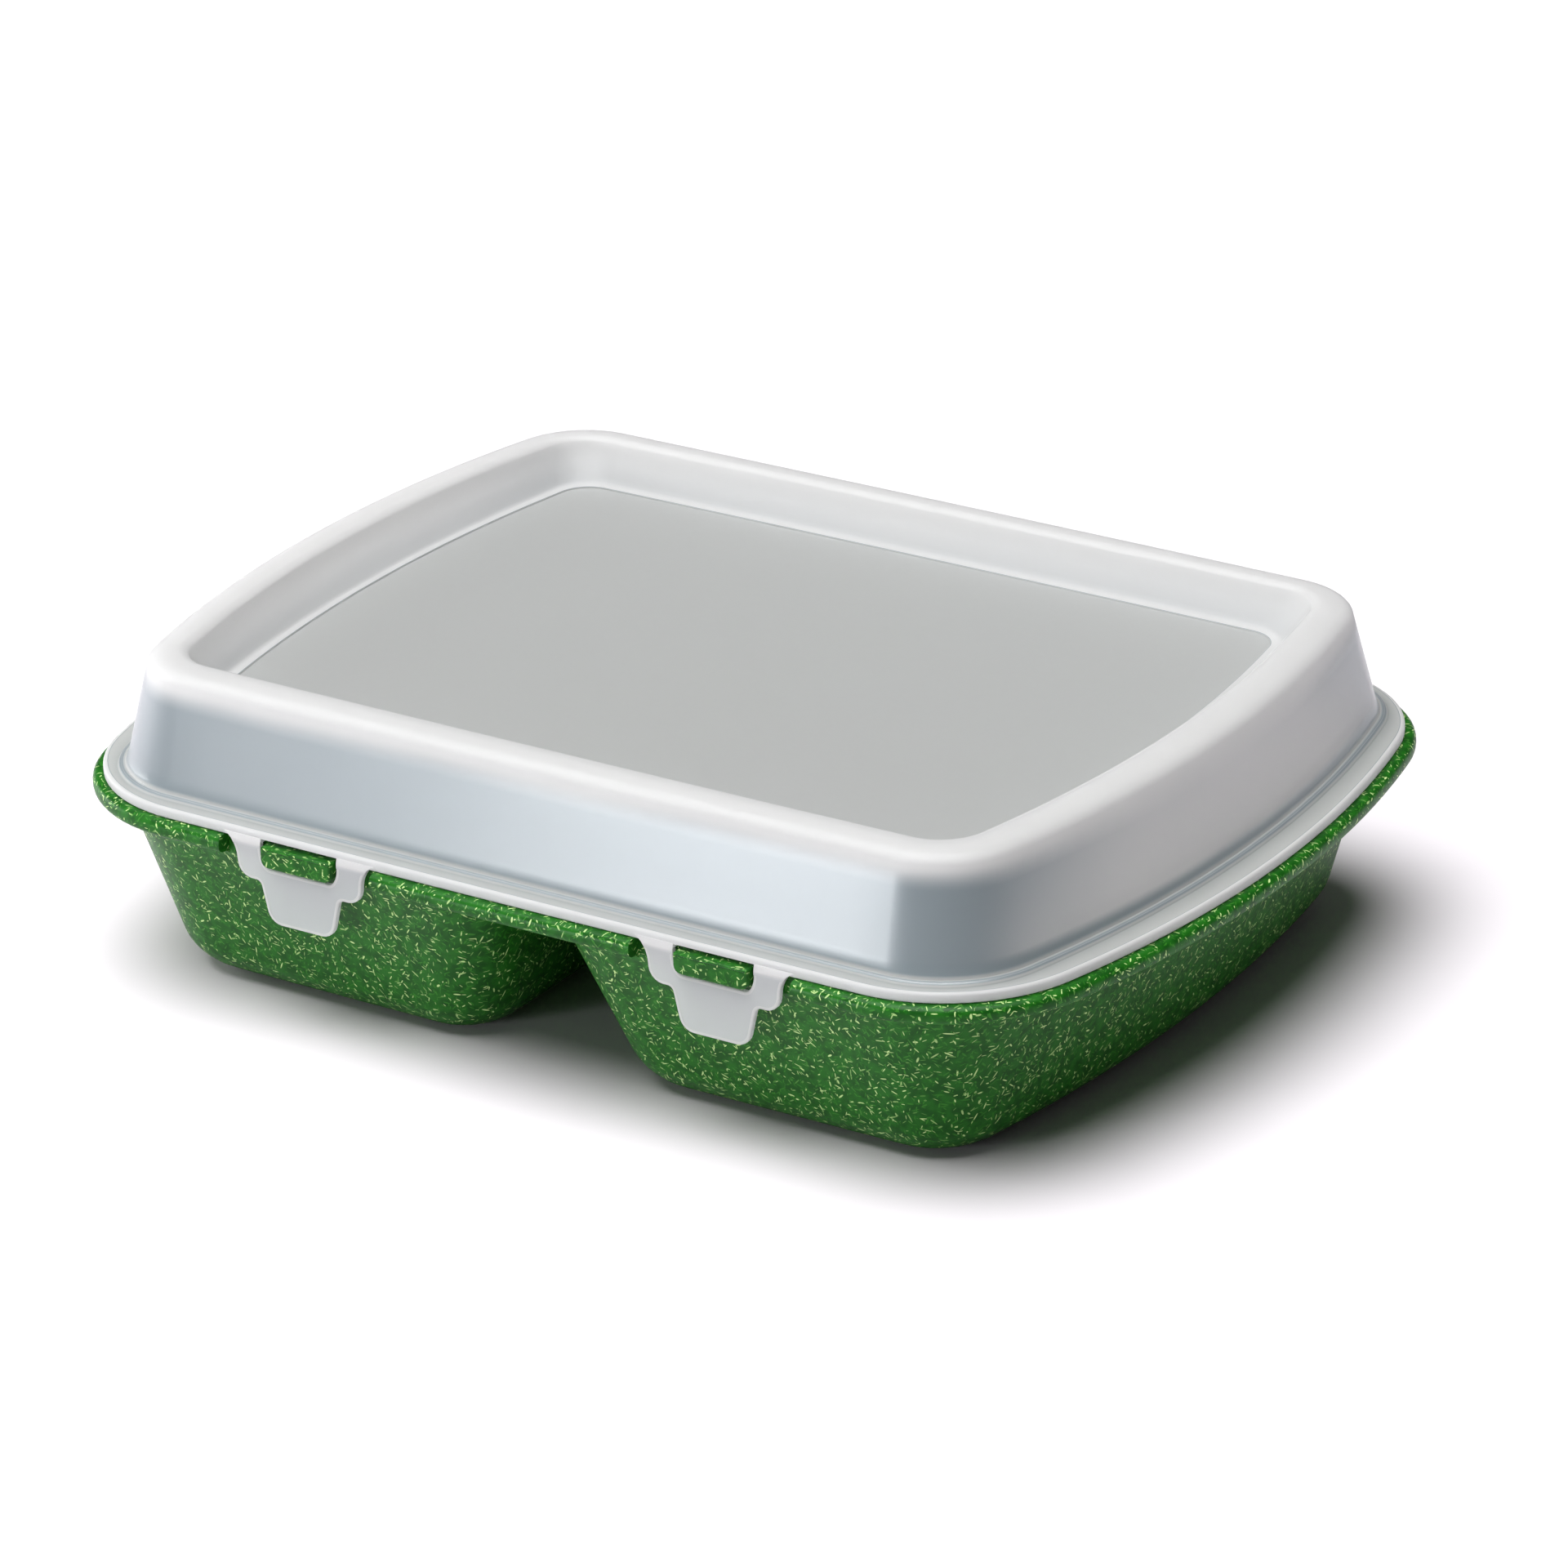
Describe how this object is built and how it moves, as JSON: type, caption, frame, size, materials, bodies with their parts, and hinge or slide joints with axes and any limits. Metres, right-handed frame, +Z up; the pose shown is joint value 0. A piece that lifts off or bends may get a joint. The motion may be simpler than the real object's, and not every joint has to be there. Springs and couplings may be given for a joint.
{
  "type": "two-compartment meal container",
  "caption": "Rectangular meal tray with two drafted bowls side by side under one rim, and a translucent domed lid held by swinging clips over rim lugs.",
  "frame": {"origin": "middle of the footprint at floor level, with the lid closed", "axes": "+X along the length from the left bowl to the right bowl, +Y to the back long side, +Z up"},
  "size_m": [0.24, 0.178, 0.066],
  "materials": {
    "tray": "green moulded fibre composite with pale straw flakes, satin",
    "lid": "translucent frosted natural polypropylene"
  },
  "bodies": {
    "tray": {"tray": "tray"},
    "lid": {"lid": "lid"},
    "clip_front_left": {"clip_front_left": "lid"},
    "clip_front_right": {"clip_front_right": "lid"},
    "clip_back_left": {"clip_back_left": "lid"},
    "clip_back_right": {"clip_back_right": "lid"}
  },
  "joints": [
    {"name": "lid_lift", "type": "slide", "parent": "tray", "child": "lid", "axis": [0, 0, 1], "range_m": [0, 0.12]},
    {"name": "clip_front_left_swing", "type": "hinge", "parent": "lid", "child": "clip_front_left", "pos_m": [-0.04775, -0.0867, 0.0394], "axis": [-1, 0, 0], "range_deg": [0, 110]},
    {"name": "clip_front_right_swing", "type": "hinge", "parent": "lid", "child": "clip_front_right", "pos_m": [0.04775, -0.0867, 0.0394], "axis": [-1, 0, 0], "range_deg": [0, 110]},
    {"name": "clip_back_left_swing", "type": "hinge", "parent": "lid", "child": "clip_back_left", "pos_m": [-0.04775, 0.0867, 0.0394], "axis": [1, 0, 0], "range_deg": [0, 110]},
    {"name": "clip_back_right_swing", "type": "hinge", "parent": "lid", "child": "clip_back_right", "pos_m": [0.04775, 0.0867, 0.0394], "axis": [1, 0, 0], "range_deg": [0, 110]}
  ]
}
